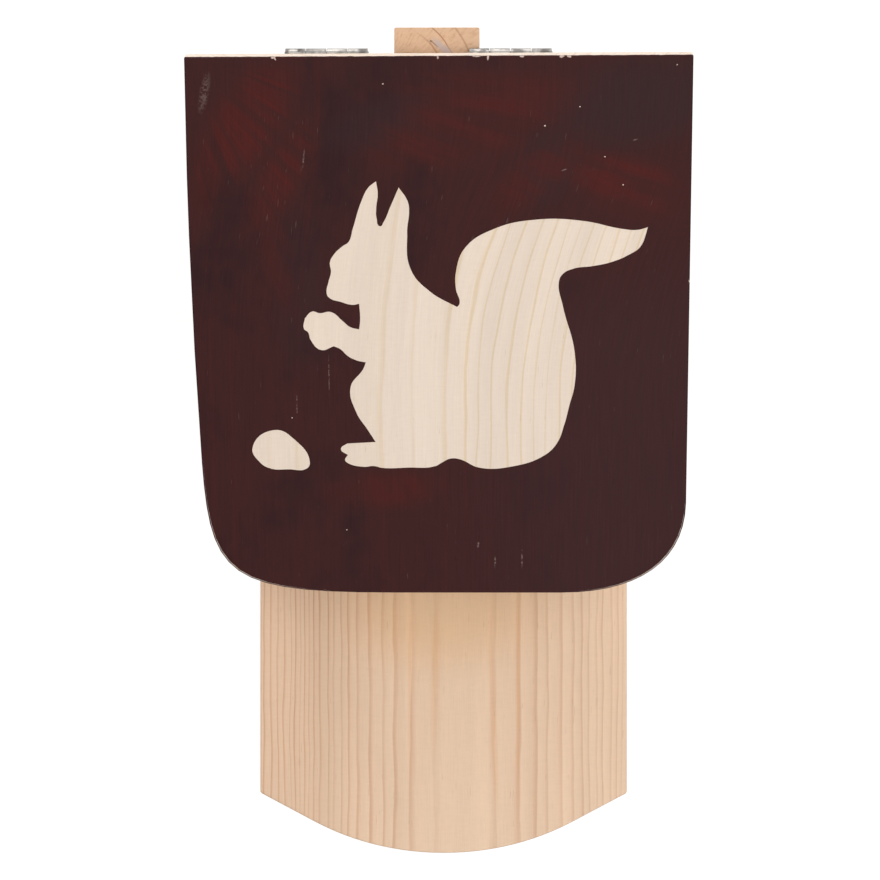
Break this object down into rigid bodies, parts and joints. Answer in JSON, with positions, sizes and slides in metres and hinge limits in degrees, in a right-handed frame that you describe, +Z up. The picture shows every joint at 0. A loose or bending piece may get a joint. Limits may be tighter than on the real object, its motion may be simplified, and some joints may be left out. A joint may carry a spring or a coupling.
{
  "type": "squirrel feeder box",
  "caption": "Wooden nut hopper for squirrels with a sloping hinged lid, a clear front pane in saw kerfs, a long rounded floor board to sit on and a batten to hang it by.",
  "frame": {"origin": "middle of the underside, at the centre of the whole object's plan", "axes": "+Z up, +Y towards the tree it hangs on, -Y towards the squirrel, +X to the right in the picture"},
  "size_m": [0.1827, 0.3166, 0.1675],
  "materials": {
    "bare_pine": "bare planed pine with flat-sawn grain",
    "stained_pine": "dark mahogany stain, satin, on bare pine edges",
    "clear_acrylic": "clear sheet with polished faces and sawn edges",
    "hinge_steel": "zinc-plated rolled sheet steel",
    "zinc_screws": "zinc-plated countersunk screws"
  },
  "bodies": {
    "box": {"floor_board": "bare_pine", "side_board_left": "bare_pine", "side_board_right": "bare_pine", "back_board": "bare_pine", "hanging_batten": "bare_pine", "rear_screw_left_lower": "zinc_screws", "rear_screw_left_upper": "zinc_screws", "rear_screw_right_lower": "zinc_screws", "rear_screw_right_upper": "zinc_screws", "floor_screw_left_front": "zinc_screws", "floor_screw_left_rear": "zinc_screws", "floor_screw_right_front": "zinc_screws", "floor_screw_right_rear": "zinc_screws", "floor_screw_back_left": "zinc_screws", "floor_screw_back_right": "zinc_screws", "batten_screw_lower": "zinc_screws", "batten_screw_upper": "zinc_screws", "left_hinge_box_leaf": "hinge_steel", "left_hinge_pin": "hinge_steel", "left_hinge_box_screw_left": "zinc_screws", "left_hinge_box_screw_right": "zinc_screws", "right_hinge_box_leaf": "hinge_steel", "right_hinge_pin": "hinge_steel", "right_hinge_box_screw_left": "zinc_screws", "right_hinge_box_screw_right": "zinc_screws"},
    "lid": {"lid_board": "stained_pine", "left_hinge_lid_leaf": "hinge_steel", "left_hinge_lid_screw_left": "zinc_screws", "left_hinge_lid_screw_right": "zinc_screws", "right_hinge_lid_leaf": "hinge_steel", "right_hinge_lid_screw_left": "zinc_screws", "right_hinge_lid_screw_right": "zinc_screws"},
    "pane": {"front_pane": "clear_acrylic"}
  },
  "joints": [
    {"name": "lid_hinge", "type": "hinge", "parent": "box", "child": "lid", "pos_m": [0, 0.1487, 0.16], "axis": [-1, 0, 0], "range_deg": [0, 108]},
    {"name": "pane_slide", "type": "slide", "parent": "box", "child": "pane", "axis": [0, 0, 1], "range_m": [0, 0.011]}
  ]
}
